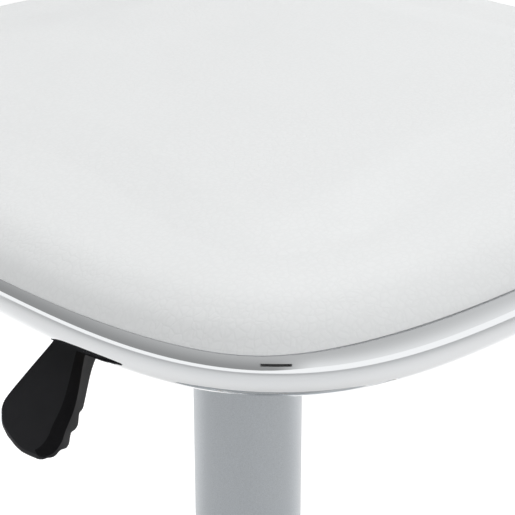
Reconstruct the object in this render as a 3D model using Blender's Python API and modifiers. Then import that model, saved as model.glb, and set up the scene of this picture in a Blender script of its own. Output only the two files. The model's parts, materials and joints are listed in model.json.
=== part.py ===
"""Height-adjustable swivel stool: trumpet base, gas-lift column, footrest loop, padded seat in a tube ring.

Metres, +Z up. The floor is z = 0 and the column stands on the Z axis. The seat is at its lowest position.
"""
import math

import bpy

# ---- driving dimensions (metres) ------------------------------------------------------------------
GAP = 0.0004                    # clearance between pieces that touch
ROUND = 36                      # facets round the large turned pieces
MIDDLE_ROUND = 28               # facets round the pressure cylinder and its socket
HIDDEN_ROUND = 18               # facets round the pieces inside the column
SMALL_ROUND = 14                # facets round pins and fasteners

RING_Z = 0.590                  # height of the seat ring's centre line
RING_HALF_X = 0.1845            # half sizes of the ring's centre line
RING_CENTRE_X = 0.0140          # the seat stands this far off the column's axis
RING_HALF_Y = 0.1905            # ring centre line, half depth
RING_POWER = 5.0                # exponent of its superellipse
RING_R = 0.0095                 # radius of the ring tube
RING_POINTS = 48

BASE_R = 0.210                  # radius of the trumpet base
BASE_WALL = 0.002
COLUMN_R = 0.025
COLUMN_WALL = 0.0015
COLUMN_LOW = 0.010
COLUMN_TOP = 0.500
LIFT_TRAVEL = 0.200             # stroke of the gas lift
ROD_R = 0.005
CYLINDER_R = 0.014
CYLINDER_BORE = 0.0123
CYLINDER_LOW = 0.045
TAPER_LOW = 0.496
CYLINDER_TOP = 0.556
PIN_R = 0.0036
PIN_TOP = 0.5668
PISTON_LOW = 0.437

BOARD_LOW = RING_Z - 0.0067
BOARD_TOP = BOARD_LOW + 0.012
BOARD_INSET = 0.0115            # from the ring's centre line to the board's edge

PLATE_HALF_X = 0.080
PLATE_HALF_Y = 0.065
PLATE_TOP = BOARD_LOW - 0.0003
PLATE_LOW = PLATE_TOP - 0.0025
BOLT_X = 0.062
BOLT_Y = 0.047

LEVER_ANGLE = math.radians(205.8)       # direction in plan, from +X
PIVOT_REACH = 0.032             # pivot's distance from the column axis
PIVOT_Z = 0.572
ARM_LOW = 0.5674
ARM_TOP = 0.5764
ARM_HALF = 0.003                # half thickness of the lever arm
LEVER_ROD_R = 0.004
HANDLE_SLOPE = math.radians(28.0)
HANDLE_START = 0.1621           # handle root, from the column axis
HANDLE_START_Z = 0.5665
HANDLE_TOP = 0.0062             # flat top of the handle above its bore
HANDLE_ROOT_LOW = -0.0072       # underside at the root, below the bore
HANDLE_TAPER = 0.100            # rise of the underside for each metre along the handle
HANDLE_BAND = 0.0021            # width of the sloping band beside the top, at the root
HANDLE_BAND_GROWTH = 0.045
HANDLE_BAND_DROP = 0.0016
GRIP_START = 0.0265             # first finger grip, along the handle
GRIP_PITCH = 0.0083
GRIP_DEPTH = 0.0020
# half-widths of the fan-shaped handle: (along it, to one side)
HANDLE_RIGHT = [(0.0, 0.0056), (0.008, 0.0066), (0.020, 0.0099), (0.032, 0.0131), (0.0365, 0.0136),
                (0.040, 0.0124), (0.044, 0.0102), (0.0475, 0.0064), (0.0515, 0.0004), (0.053, -0.0056)]
HANDLE_LEFT = [(0.0, 0.0056), (0.011, 0.0068), (0.0305, 0.0114), (0.0415, 0.0122), (0.046, 0.0126),
               (0.050, 0.0118), (0.0525, 0.0094), (0.053, 0.0076)]

FOOTREST_Z = 0.235
FOOTREST_R = 0.0095
FOOTREST_HALF_WIDTH = 0.120
FOOTREST_REACH = 0.160

PARTS = "swivel_stool"
CUTTERS = "cutters"


# ---- scene and materials --------------------------------------------------------------------------
def start_scene():
    """Empty the scene and return the collections for the parts and for the cutters."""
    for old in list(bpy.data.objects):
        bpy.data.objects.remove(old, do_unlink=True)
    made = []
    for name in (PARTS, CUTTERS):
        collection = bpy.data.collections.new(name)
        bpy.context.scene.collection.children.link(collection)
        made.append(collection)
    return made


PART_COLLECTION, CUTTER_COLLECTION = start_scene()


def make_material(name, colour, roughness, metallic):
    """A plain Principled material."""
    material = bpy.data.materials.new(name)
    material.use_nodes = True
    shader = material.node_tree.nodes["Principled BSDF"]
    shader.inputs["Base Color"].default_value = (*colour, 1.0)
    shader.inputs["Roughness"].default_value = roughness
    shader.inputs["Metallic"].default_value = metallic
    return material


SILVER = make_material("silver_paint", (0.44, 0.46, 0.48), 0.32, 0.7)
CHROME = make_material("chrome", (0.86, 0.87, 0.88), 0.06, 1.0)
STEEL = make_material("bright_steel", (0.62, 0.63, 0.64), 0.3, 1.0)
ZINC = make_material("zinc_plate", (0.55, 0.56, 0.58), 0.38, 1.0)
BLACK_STEEL = make_material("black_steel", (0.03, 0.03, 0.032), 0.45, 0.3)
BLACK_PLASTIC = make_material("black_plastic", (0.02, 0.02, 0.021), 0.5, 0.0)
RUBBER = make_material("rubber", (0.025, 0.025, 0.025), 0.8, 0.0)
LEATHER = make_material("white_leather", (0.86, 0.86, 0.86), 0.5, 0.0)
FOAM = make_material("foam", (0.85, 0.80, 0.62), 0.9, 0.0)
PLYWOOD = make_material("plywood", (0.62, 0.45, 0.28), 0.6, 0.0)


# ---- makers ---------------------------------------------------------------------------------------
def place(name, data, material, location=(0, 0, 0), rotation=(0, 0, 0)):
    """Put mesh or curve data in the parts collection as a named object."""
    thing = bpy.data.objects.new(name, data)
    thing.location = location
    thing.rotation_euler = rotation
    if material is not None:
        data.materials.append(material)
    PART_COLLECTION.objects.link(thing)
    return thing


def turned(name, profile, material, location=(0, 0, 0), rotation=(0, 0, 0), steps=ROUND, closed=True):
    """Turn an (r, z) profile about Z. It runs down the outer side; an open one starts and ends at r = 0."""
    mesh = bpy.data.meshes.new(name)
    count = len(profile)
    edges = [(i, (i + 1) % count) for i in range(count if closed else count - 1)]
    mesh.from_pydata([(r, 0.0, z) for r, z in profile], edges, [])
    thing = place(name, mesh, material, location, rotation)
    screw = thing.modifiers.new("turn", "SCREW")
    screw.axis = "Z"
    screw.angle = math.tau
    screw.steps = steps
    screw.render_steps = steps
    screw.use_merge_vertices = True
    screw.merge_threshold = 0.00001
    screw.use_smooth_shade = True
    return thing


def washer(name, outer, inner, low, top, material, steps=ROUND):
    """A plain ring or tube between two heights."""
    profile = [(outer, top), (outer, low), (inner, low), (inner, top)]
    return turned(name, profile, material, steps=steps)


def round_bar(name, radius, low, top, material, edge=0.0005, steps=SMALL_ROUND, **where):
    """A solid round bar with chamfered ends."""
    profile = [(0, top), (radius - edge, top), (radius, top - edge),
               (radius, low + edge), (radius - edge, low), (0, low)]
    return turned(name, profile, material, steps=steps, closed=False, **where)


def screw_from_below(name, location, head_r, head_height, shank_r, shank_length, material):
    """A round-headed screw pointing up; its location is the underside of what it clamps."""
    x, y, z = location
    profile = [(0, shank_length), (shank_r, shank_length), (shank_r, 0), (head_r, 0),
               (head_r, -0.4 * head_height), (0.75 * head_r, -head_height), (0, -head_height)]
    return turned(name, profile, material, (x, y, z - GAP), steps=12, closed=False)


def circle(x, y, radius, count=SMALL_ROUND):
    """Points of a circle."""
    return [(x + radius * math.cos(math.tau * i / count), y + radius * math.sin(math.tau * i / count))
            for i in range(count)]


def rectangle(x_low, y_low, x_high, y_high, radius, steps=4):
    """Points of a rectangle with round corners, anticlockwise."""
    corners = [(x_high - radius, y_high - radius, 0.0), (x_low + radius, y_high - radius, 0.25),
               (x_low + radius, y_low + radius, 0.5), (x_high - radius, y_low + radius, 0.75)]
    points = []
    for cx, cy, turn in corners:
        for i in range(steps + 1):
            angle = math.tau * (turn + 0.25 * i / steps)
            points.append((cx + radius * math.cos(angle), cy + radius * math.sin(angle)))
    return points


def slab(name, outline, holes, half_thickness, material, location, rotation=(0, 0, 0)):
    """A flat plate: outline and holes in its own XY plane, centred on its location."""
    curve = bpy.data.curves.new(name, "CURVE")
    curve.dimensions = "2D"
    curve.fill_mode = "BOTH"
    curve.extrude = half_thickness
    for loop in [outline, *holes]:
        spline = curve.splines.new("POLY")
        spline.points.add(len(loop) - 1)
        for point, (x, y) in zip(spline.points, loop):
            point.co = (x, y, 0.0, 1.0)
        spline.use_cyclic_u = True
    return place(name, curve, material, location, rotation)


def tube(name, points, radius, material, cyclic=False, resolution=3):
    """A round tube or bar along a list of points."""
    curve = bpy.data.curves.new(name, "CURVE")
    curve.dimensions = "3D"
    curve.bevel_depth = radius
    curve.bevel_resolution = resolution
    curve.use_fill_caps = not cyclic
    spline = curve.splines.new("POLY")
    spline.points.add(len(points) - 1)
    for target, point in zip(spline.points, points):
        target.co = (*point, 1.0)
    spline.use_cyclic_u = cyclic
    return place(name, curve, material)


def loft(name, loops, material, location=(0, 0, 0), rotation=(0, 0, 0)):
    """A closed body through equal-length loops of points, capped at both ends."""
    count = len(loops[0])
    verts = [point for loop in loops for point in loop]
    faces = [tuple(reversed(range(count))), tuple(range(len(verts) - count, len(verts)))]
    for row in range(len(loops) - 1):
        for i in range(count):
            a, b = row * count + i, row * count + (i + 1) % count
            faces.append((a, b, b + count, a + count))
    mesh = bpy.data.meshes.new(name)
    mesh.from_pydata(verts, [], faces)
    mesh.shade_smooth()
    mesh.set_sharp_from_angle(angle=math.radians(40))
    return place(name, mesh, material, location, rotation)


def cut(thing, cutter):
    """Take a closed cutter out of a part."""
    cutter.hide_render = True
    cutter.display_type = "WIRE"
    boolean = thing.modifiers.new("cut", "BOOLEAN")
    boolean.operation = "DIFFERENCE"
    boolean.solver = "EXACT"
    boolean.object = cutter


def box_cutter(name, size, location, rotation):
    """A box in the cutters collection."""
    bpy.ops.mesh.primitive_cube_add(size=1.0, location=location, rotation=rotation)
    thing = bpy.context.object
    thing.name = name
    thing.scale = size
    for collection in list(thing.users_collection):
        collection.objects.unlink(thing)
    CUTTER_COLLECTION.objects.link(thing)
    return thing


def to_cutters(thing):
    """Move an object from the parts to the cutters."""
    PART_COLLECTION.objects.unlink(thing)
    CUTTER_COLLECTION.objects.link(thing)
    return thing


# ---- shared outlines ------------------------------------------------------------------------------
def ring_outline(inset=0.0, scale=1.0, count=RING_POINTS):
    """Evenly spaced points of the seat ring's centre line, moved inwards by inset and then scaled."""
    fine = 1440
    curve = []
    for i in range(fine):
        angle = math.tau * i / fine
        c, s = math.cos(angle), math.sin(angle)
        reach = (abs(c / RING_HALF_X) ** RING_POWER + abs(s / RING_HALF_Y) ** RING_POWER) ** (-1 / RING_POWER)
        curve.append((reach * c, reach * s))
    lengths = [math.dist(curve[i], curve[(i + 1) % fine]) for i in range(fine)]
    step = sum(lengths) / count
    points = []
    walked = 0.0
    for i in range(fine):
        if walked >= step * len(points) - 1e-9 and len(points) < count:
            (x0, y0), (x1, y1) = curve[i - 1], curve[(i + 1) % fine]
            size = math.dist((x0, y0), (x1, y1))
            normal = ((y1 - y0) / size, (x0 - x1) / size)
            x, y = curve[i]
            points.append((RING_CENTRE_X + scale * (x - inset * normal[0]), scale * (y - inset * normal[1])))
        walked += lengths[i]
    return points


def seat_loop(inset, rise, scale=1.0):
    """One level of the pad: a ring outline at a height above the ring's centre line."""
    return [(x, y, RING_Z + rise) for x, y in ring_outline(inset, scale)]


def rounded_route(corners, steps=6):
    """A flat route through (x, y, radius) corners, with arcs at the inner ones."""
    route = [corners[0][:2]]
    for before, (x, y, radius), after in zip(corners, corners[1:], corners[2:]):
        back = (before[0] - x, before[1] - y)
        ahead = (after[0] - x, after[1] - y)
        back_angle = math.atan2(back[1], back[0])
        turn = (math.atan2(ahead[1], ahead[0]) - back_angle + math.pi) % math.tau - math.pi
        reach = radius / math.tan(abs(turn) / 2)
        start = (x + reach * math.cos(back_angle), y + reach * math.sin(back_angle))
        side = math.copysign(1.0, turn)
        centre_angle = back_angle + side * math.pi / 2
        centre = (start[0] + radius * math.cos(centre_angle), start[1] + radius * math.sin(centre_angle))
        first = centre_angle + math.pi
        sweep = -side * (math.pi - abs(turn))
        for i in range(steps + 1):
            angle = first + sweep * i / steps
            route.append((centre[0] + radius * math.cos(angle), centre[1] + radius * math.sin(angle)))
    route.append(corners[-1][:2])
    return route


def on_lever(reach, side=0.0, z=0.0):
    """A point in the lever's own directions: out along it, to its left, and up."""
    c, s = math.cos(LEVER_ANGLE), math.sin(LEVER_ANGLE)
    return (reach * c - side * s, reach * s + side * c, z)


# ---- base and column ------------------------------------------------------------------------------
def build_base():
    """Trumpet base, its floor ring, ballast plate and the flange that holds the column."""
    throat_r = COLUMN_R + GAP + BASE_WALL
    rim_r = BASE_R - 0.003
    outer = [(throat_r, 0.0780)]
    spans = 10
    for i in range(spans + 1):
        r = throat_r + (rim_r - throat_r) * (i / spans) ** 1.9
        share = (r - throat_r) / (rim_r - throat_r)
        outer.append((r, 0.0070 + 0.014 * (1 - share ** 2) + 0.055 * math.exp(-(r - throat_r) / 0.016)))
    outer += [(BASE_R - 0.0008, 0.0058), (BASE_R, 0.0034)]
    inner = []
    for before, here, after in zip(outer[:-2], outer[1:-1], outer[2:]):
        size = math.dist(before, after)
        inner.append((here[0] - BASE_WALL * (before[1] - after[1]) / size,
                      here[1] - BASE_WALL * (after[0] - before[0]) / size))
    inner = [(throat_r - BASE_WALL, 0.0780), *inner[1:], (BASE_R - BASE_WALL, 0.0034)]
    turned("base_disc", outer + inner[::-1], SILVER)

    washer("floor_ring", BASE_R - 0.0015, BASE_R - 0.014, 0.0, 0.0030, RUBBER)
    washer("base_collar", COLUMN_R + 0.0055, COLUMN_R + GAP, 0.0784, 0.0870, CHROME)

    bolt_reach = 0.045
    bolts = [(bolt_reach * math.cos(a), bolt_reach * math.sin(a))
             for a in (math.radians(45 + 90 * i) for i in range(4))]
    bolt_holes = [circle(x, y, 0.0036) for x, y in bolts]
    slab("ballast_plate", circle(0, 0, 0.166, ROUND), [circle(0, 0, 0.020), *bolt_holes],
         0.0025, BLACK_STEEL, (0, 0, 0.0071))
    slab("column_flange", circle(0, 0, 0.060, ROUND), [circle(0, 0, COLUMN_R + 2 * GAP, ROUND), *bolt_holes],
         0.002, BLACK_STEEL, (0, 0, 0.0120))
    for i, (x, y) in enumerate(bolts, 1):
        screw_from_below(f"flange_bolt_{i}", (x, y, 0.0046), 0.006, 0.003, 0.003, 0.012, ZINC)


def build_column():
    """Outer tube with its end plate and the plastic bush that guides the pressure cylinder."""
    bore = COLUMN_R - COLUMN_WALL
    washer("column_tube", COLUMN_R, bore, COLUMN_LOW, COLUMN_TOP, SILVER)
    washer("tube_end_plate", bore - GAP, ROD_R + 0.0006, 0.0160, 0.0200, BLACK_STEEL)
    washer("lower_race", 0.0140, 0.0062, 0.0203, 0.0218, STEEL, HIDDEN_ROUND)
    bush_r = CYLINDER_R + 0.0005
    rim = COLUMN_TOP + GAP
    turned("guide_bush", [(0.0235, rim + 0.0060), (0.0252, rim + 0.0045), (0.0252, rim), (bore - GAP, rim),
                          (bore - GAP, rim - 0.070), (bush_r, rim - 0.070), (bush_r, rim + 0.0060)],
           BLACK_PLASTIC)


def build_footrest():
    """Bent tube loop, its clamp collar and two clamp screws."""
    collar_r = COLUMN_R + 0.005
    washer("footrest_collar", collar_r, COLUMN_R + GAP, FOOTREST_Z - 0.020, FOOTREST_Z + 0.020, CHROME)
    wide, far, end = FOOTREST_HALF_WIDTH, FOOTREST_REACH, collar_r + GAP
    corners = [(-end, 0), (-wide, 0, 0.045), (-wide, -far, 0.060), (wide, -far, 0.060), (wide, 0, 0.045),
               (end, 0)]
    route = rounded_route(corners)
    tube("footrest_loop", [(x, y, FOOTREST_Z) for x, y in route], FOOTREST_R, CHROME)
    for i, rise in enumerate((-0.010, 0.010), 1):
        round_bar(f"footrest_screw_{i}", 0.004, collar_r + GAP, collar_r + 0.0045, ZINC,
                  location=(0, 0, FOOTREST_Z + rise), rotation=(-math.pi / 2, 0, 0))


# ---- gas lift -------------------------------------------------------------------------------------
def build_gas_lift():
    """Piston rod on its thrust bearing, piston, pressure cylinder with its seal and spacer, release pin."""
    washer("thrust_bearing", 0.0136, 0.0062, 0.0221, 0.0251, STEEL, HIDDEN_ROUND)
    washer("upper_race", 0.0140, ROD_R + GAP, 0.0254, 0.0269, STEEL, HIDDEN_ROUND)
    washer("rubber_buffer", 0.0130, ROD_R + GAP, 0.0272, 0.0420, RUBBER, HIDDEN_ROUND)
    washer("retaining_clip", 0.0090, ROD_R + GAP, 0.0138, 0.0156, ZINC, HIDDEN_ROUND)
    round_bar("piston_rod", ROD_R, 0.0115, PISTON_LOW - 0.0003, STEEL)
    piston_top = PISTON_LOW + 0.018
    round_bar("piston", CYLINDER_BORE - GAP, PISTON_LOW, piston_top, BLACK_PLASTIC, steps=HIDDEN_ROUND)
    bore_top = 0.478
    pin_bore = PIN_R + GAP
    turned("pressure_cylinder", [(0.0133, CYLINDER_TOP), (CYLINDER_R, TAPER_LOW), (CYLINDER_R, CYLINDER_LOW),
                                 (CYLINDER_BORE, CYLINDER_LOW), (CYLINDER_BORE, bore_top),
                                 (pin_bore, bore_top + 0.006), (pin_bore, CYLINDER_TOP)],
           BLACK_STEEL, steps=MIDDLE_ROUND)
    washer("rod_seal", CYLINDER_BORE - GAP, ROD_R + 0.00025, 0.0460, 0.0660, BLACK_PLASTIC, HIDDEN_ROUND)
    spacer_low = 0.0663
    spacer_top = PISTON_LOW - LIFT_TRAVEL - 0.0003
    washer("travel_spacer", 0.0080, ROD_R + 0.0005, spacer_low, spacer_top, STEEL, HIDDEN_ROUND)
    round_bar("release_pin", PIN_R, 0.5000, PIN_TOP, STEEL)


# ---- lever and mechanism --------------------------------------------------------------------------
def build_mechanism():
    """Seat plate, tapered socket and the two cheeks that carry the lever's pivot pin."""
    bolts = [(sx * BOLT_X, sy * BOLT_Y) for sx in (-1, 1) for sy in (-1, 1)]
    slab("mount_plate", rectangle(-PLATE_HALF_X, -PLATE_HALF_Y, PLATE_HALF_X, PLATE_HALF_Y, 0.012),
         [circle(x, y, 0.0036) for x, y in bolts], (PLATE_TOP - PLATE_LOW) / 2, BLACK_STEEL,
         (0, 0, (PLATE_TOP + PLATE_LOW) / 2))
    socket_top = PLATE_LOW - 0.0003
    socket = turned("taper_socket", [(0.0175, socket_top), (0.0175, 0.5300), (0.0145, 0.5280),
                                     (0.0138, CYLINDER_TOP), (0.0138, socket_top)],
                    BLACK_STEEL, steps=MIDDLE_ROUND)
    slot_low = 0.5630
    slot_height = 0.030
    cut(socket, box_cutter("lever_slot", (0.030, 2 * ARM_HALF + 0.0014, slot_height),
                           on_lever(0.016, 0, slot_low + slot_height / 2), (0, 0, LEVER_ANGLE)))
    cheek_half = 0.0013
    for side, word in ((1, "left"), (-1, "right")):
        offset = side * (ARM_HALF + 0.0005 + cheek_half)
        slab(f"pivot_cheek_{word}", rectangle(0.023, 0.5655, 0.041, socket_top, 0.003),
             [circle(PIVOT_REACH, PIVOT_Z, 0.0029)], cheek_half, BLACK_STEEL, on_lever(0, offset),
             (math.pi / 2, 0, LEVER_ANGLE))
    round_bar("pivot_pin", 0.0025, -0.008, 0.008, ZINC, location=on_lever(PIVOT_REACH, 0, PIVOT_Z),
              rotation=(math.pi / 2, 0, LEVER_ANGLE))
    for i, (x, y) in enumerate(bolts, 1):
        screw_from_below(f"plate_bolt_{i}", (x, y, PLATE_LOW), 0.0055, 0.0045, 0.0029, 0.014, ZINC)
        nut = [(0.0090, 0.0014), (0.0090, 0.0003), (0.0041, 0.0003), (0.0041, -0.0095),
               (0.00315, -0.0095), (0.00315, 0.0014)]
        turned(f"t_nut_{i}", nut, ZINC, (x, y, BOARD_TOP), steps=SMALL_ROUND)


def reach_at(outline, x):
    """Half-width of the handle on one side, at a distance along it."""
    for (x0, y0), (x1, y1) in zip(outline, outline[1:]):
        if x <= x1:
            return y0 + (y1 - y0) * (x - x0) / (x1 - x0)
    return outline[-1][1]


def handle_loop(x):
    """One cross-section of the lever handle: flat top, sloping bands, finger grips under the outer half."""
    left, right = reach_at(HANDLE_LEFT, x), reach_at(HANDLE_RIGHT, x)
    low = HANDLE_ROOT_LOW + HANDLE_TAPER * x
    if x > GRIP_START:
        low += GRIP_DEPTH / 2 * (1 - math.cos(math.tau * (x - GRIP_START) / GRIP_PITCH))
    band = min(HANDLE_BAND + HANDLE_BAND_GROWTH * x, 0.4 * (left + right))
    edge = 0.0008
    under = 0.0014
    shoulder = HANDLE_TOP - HANDLE_BAND_DROP
    section = [(-right + edge, HANDLE_TOP), (-right, shoulder), (-right, low + under), (-right + edge, low),
               (left - edge, low), (left, low + under), (left, shoulder), (left - band, HANDLE_TOP)]
    return [(x, y, z) for y, z in section]


def build_lever():
    """Lever arm over the release pin, bent rod, and the moulded handle with its blind bore."""
    arm_outline = rectangle(-0.006, ARM_LOW, 0.052, ARM_TOP, 0.0025)
    slab("lever_arm", arm_outline, [circle(PIVOT_REACH, PIVOT_Z, 0.0028)], ARM_HALF, BLACK_STEEL,
         (0, 0, 0), (math.pi / 2, 0, LEVER_ANGLE))
    slope = math.tan(HANDLE_SLOPE)
    profile = [(0.0524, 0.5720), (0.066, 0.5717), (0.090, 0.5708), (0.120, 0.5695), (0.145, 0.5684),
               (0.1555, 0.5678)]
    for reach in (HANDLE_START - 0.0018, HANDLE_START + 0.0159):
        profile.append((reach, HANDLE_START_Z - slope * (reach - HANDLE_START)))
    tube("lever_rod", [on_lever(reach, 0, z) for reach, z in profile], LEVER_ROD_R, BLACK_STEEL)

    tilt = (0, HANDLE_SLOPE, LEVER_ANGLE)
    root = on_lever(HANDLE_START, 0, HANDLE_START_Z)
    stations = [0.0, 0.008, 0.016, 0.024, GRIP_START]
    stations += [GRIP_START + GRIP_PITCH * quarter / 4 for quarter in range(1, 9)]
    stations += [0.0470, 0.0490, 0.0508, 0.0522, 0.0530]
    handle = loft("lever_handle", [handle_loop(x) for x in stations], BLACK_PLASTIC, root, tilt)
    bore = to_cutters(round_bar("handle_bore", LEVER_ROD_R + GAP, -0.012, 0.0245, None, location=root,
                                rotation=(0, HANDLE_SLOPE + math.pi / 2, LEVER_ANGLE)))
    cut(handle, bore)


# ---- seat -----------------------------------------------------------------------------------------
def build_seat():
    """Plywood board, foam, wrapped cover, tube ring and the tabs that tie the ring to the board."""
    tabs = [(1, 0, RING_HALF_X), (-1, 0, RING_HALF_X), (0, 1, RING_HALF_Y), (0, -1, RING_HALF_Y)]
    screw_inset = 0.028
    screws = [(RING_CENTRE_X + dx * (half - screw_inset), dy * (half - screw_inset)) for dx, dy, half in tabs]
    holes = [circle(sx * BOLT_X, sy * BOLT_Y, 0.0047, 10) for sx in (-1, 1) for sy in (-1, 1)]
    holes += [circle(x, y, 0.0025, 12) for x, y in screws]
    slab("seat_board", ring_outline(BOARD_INSET), holes, (BOARD_TOP - BOARD_LOW) / 2, PLYWOOD,
         (0, 0, (BOARD_TOP + BOARD_LOW) / 2))

    foam = [(0.0130, 0.0070), (0.0054, 0.0118), (0.0016, 0.0139), (0.0062, 0.0168), (0.0225, 0.0215)]
    foam_middle = seat_loop(0.0225, 0.0243, 0.6)
    loft("foam_pad", [seat_loop(inset, rise) for inset, rise in foam] + [foam_middle], FOAM)

    under = [seat_loop(0.024, rise) for rise in (-0.0071, -0.0082)]
    inside = [(0.0111, -0.0071), (0.0111, 0.0014), (0.0089, 0.0068), (0.0046, 0.0105), (-0.0034, 0.0112),
              (0.0009, 0.0146), (0.0057, 0.0174), (0.0222, 0.0224)]
    outside = [(0.0220, 0.0236), (0.0120, 0.0215), (0.0050, 0.0186), (0.0, 0.0154), (-0.0037, 0.0126),
               (-0.0054, 0.0098), (0.0, 0.0100), (0.0046, 0.0092), (0.0080, 0.0062), (0.0100, 0.0010),
               (0.0100, -0.0082)]
    inner_top = [seat_loop(0.0222, 0.0254, 0.55)]
    outer_top = [seat_loop(0.0220, rise, scale) for rise, scale in ((0.0258, 0.75), (0.0270, 0.35))]
    loft("seat_cover", inner_top + [seat_loop(*point) for point in inside[::-1]] + under
         + [seat_loop(*point) for point in outside[::-1]] + outer_top, LEATHER)

    tube("seat_ring", [(x, y, RING_Z) for x, y in ring_outline()], RING_R, CHROME, cyclic=True, resolution=4)

    tab_top = RING_Z - 0.0086
    tab_half = 0.00125
    tab_width = 0.010
    for i, ((dx, dy, half), (x, y)) in enumerate(zip(tabs, screws), 1):
        outline = rectangle(half - 0.034, -tab_width, half - 0.0049, tab_width, 0.002)
        slab(f"ring_tab_{i}", outline, [circle(half - screw_inset, 0, 0.0027, 12)], tab_half, CHROME,
             (RING_CENTRE_X, 0, tab_top - tab_half), (0, 0, math.atan2(dy, dx)))
        tab_low = tab_top - 2 * tab_half
        screw_from_below(f"tab_screw_{i}", (x, y, tab_low), 0.0044, 0.0022, 0.0020, 0.0130, ZINC)


build_base()
build_column()
build_footrest()
build_gas_lift()
build_mechanism()
build_lever()
build_seat()
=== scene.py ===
"""Looks of the adjustable swivel stool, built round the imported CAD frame. Metres, +Z up, floor at z = 0."""
import json
import math

import bmesh
import bpy
import numpy as np
from mathutils import Matrix, Vector

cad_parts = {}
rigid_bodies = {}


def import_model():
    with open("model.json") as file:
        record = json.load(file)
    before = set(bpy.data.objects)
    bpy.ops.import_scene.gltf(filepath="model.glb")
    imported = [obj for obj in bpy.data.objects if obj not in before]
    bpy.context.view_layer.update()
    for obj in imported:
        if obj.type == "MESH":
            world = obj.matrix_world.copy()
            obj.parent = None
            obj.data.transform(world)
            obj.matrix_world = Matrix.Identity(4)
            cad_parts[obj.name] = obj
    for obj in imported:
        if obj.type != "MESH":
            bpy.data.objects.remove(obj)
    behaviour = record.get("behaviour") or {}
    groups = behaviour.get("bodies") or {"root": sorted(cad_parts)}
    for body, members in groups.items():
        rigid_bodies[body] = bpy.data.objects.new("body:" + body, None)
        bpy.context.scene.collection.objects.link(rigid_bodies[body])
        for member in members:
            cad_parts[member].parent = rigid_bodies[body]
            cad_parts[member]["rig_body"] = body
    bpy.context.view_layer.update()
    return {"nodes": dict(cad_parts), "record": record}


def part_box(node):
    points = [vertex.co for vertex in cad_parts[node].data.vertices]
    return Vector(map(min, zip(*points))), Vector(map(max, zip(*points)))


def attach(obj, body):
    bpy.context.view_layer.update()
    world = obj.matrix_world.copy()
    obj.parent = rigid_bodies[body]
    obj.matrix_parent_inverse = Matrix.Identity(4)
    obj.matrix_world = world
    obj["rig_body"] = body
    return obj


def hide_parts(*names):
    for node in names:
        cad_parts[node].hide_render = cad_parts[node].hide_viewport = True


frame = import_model()

# ---- sizes read from the frame
RING_LOW, RING_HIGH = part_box("seat_ring")
RING_Z = (RING_LOW.z + RING_HIGH.z) / 2
RING_R = (RING_HIGH.z - RING_LOW.z) / 2
RING_HALF_X = (RING_HIGH.x - RING_LOW.x) / 2 - RING_R
RING_CENTRE_X = (RING_HIGH.x + RING_LOW.x) / 2
RING_HALF_Y = RING_HIGH.y - RING_R
RING_POWER = 5.0                     # exponent of the ring's superellipse
BOARD_LOW, BOARD_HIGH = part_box("seat_board")
COLUMN_FIT = 0.0004                  # gap between the column tube and what fits over or into it
BOLT_HOLE_R = 0.0036                 # holes for the M6 bolts of the base and the seat plate
TAB_SCREW_INSET = 0.028              # tab screws, inside the ring's centre line
SCREW_CLEARANCE = 0.016              # staples keep this far from a tab screw
LEVER_ANGLE = math.radians(205.8)    # the lever's direction in plan
HANDLE_SLOPE = math.radians(28.0)
PIVOT_REACH = 0.032                  # lever's pivot pin, from the column axis
PIVOT_Z = 0.572
HANDLE_START = 0.1621                # handle root, from the column axis
HANDLE_START_Z = 0.5665
HANDLE_LENGTH = 0.0530
HANDLE_TOP = 0.0062                  # flat top of the handle above its bore
GRIP_START = 0.0265                  # first finger grip
GRIP_PITCH = 0.0083
TIP_START = 0.041                    # where the handle's underside starts to rise
TIP_LENGTH = 0.012
# half-widths of the fan-shaped handle: (along it, to one side)
HANDLE_RIGHT = [(0.0, 0.0056), (0.008, 0.0066), (0.020, 0.0099), (0.032, 0.0131), (0.0365, 0.0136),
                (0.040, 0.0124), (0.044, 0.0102), (0.0475, 0.0064), (0.0515, 0.0004), (0.053, -0.0056)]
HANDLE_LEFT = [(0.0, 0.0056), (0.011, 0.0068), (0.0305, 0.0114), (0.0415, 0.0122), (0.046, 0.0126),
               (0.050, 0.0118), (0.0525, 0.0094), (0.053, 0.0076)]

# ---- camera
CAMERA_AIM = Vector((-0.0117, -0.0187, RING_Z - 0.0502))
CAMERA_DISTANCE = 0.700
CAMERA_AZIMUTH = math.radians(43.7)  # turned from +Y towards +X
CAMERA_ELEVATION = math.radians(23.3)
CAMERA_LENS = 114.0


# ---- node helpers
def add_node(tree, kind, inputs=None, **settings):
    """A node with its settings and its inputs, which are values or other nodes' outputs."""
    node = tree.nodes.new(kind)
    for key, value in settings.items():
        setattr(node, key, value)
    for socket, value in (inputs or {}).items():
        if isinstance(value, bpy.types.NodeSocket):
            tree.links.new(value, node.inputs[socket])
        else:
            node.inputs[socket].default_value = value
    return node


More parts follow.
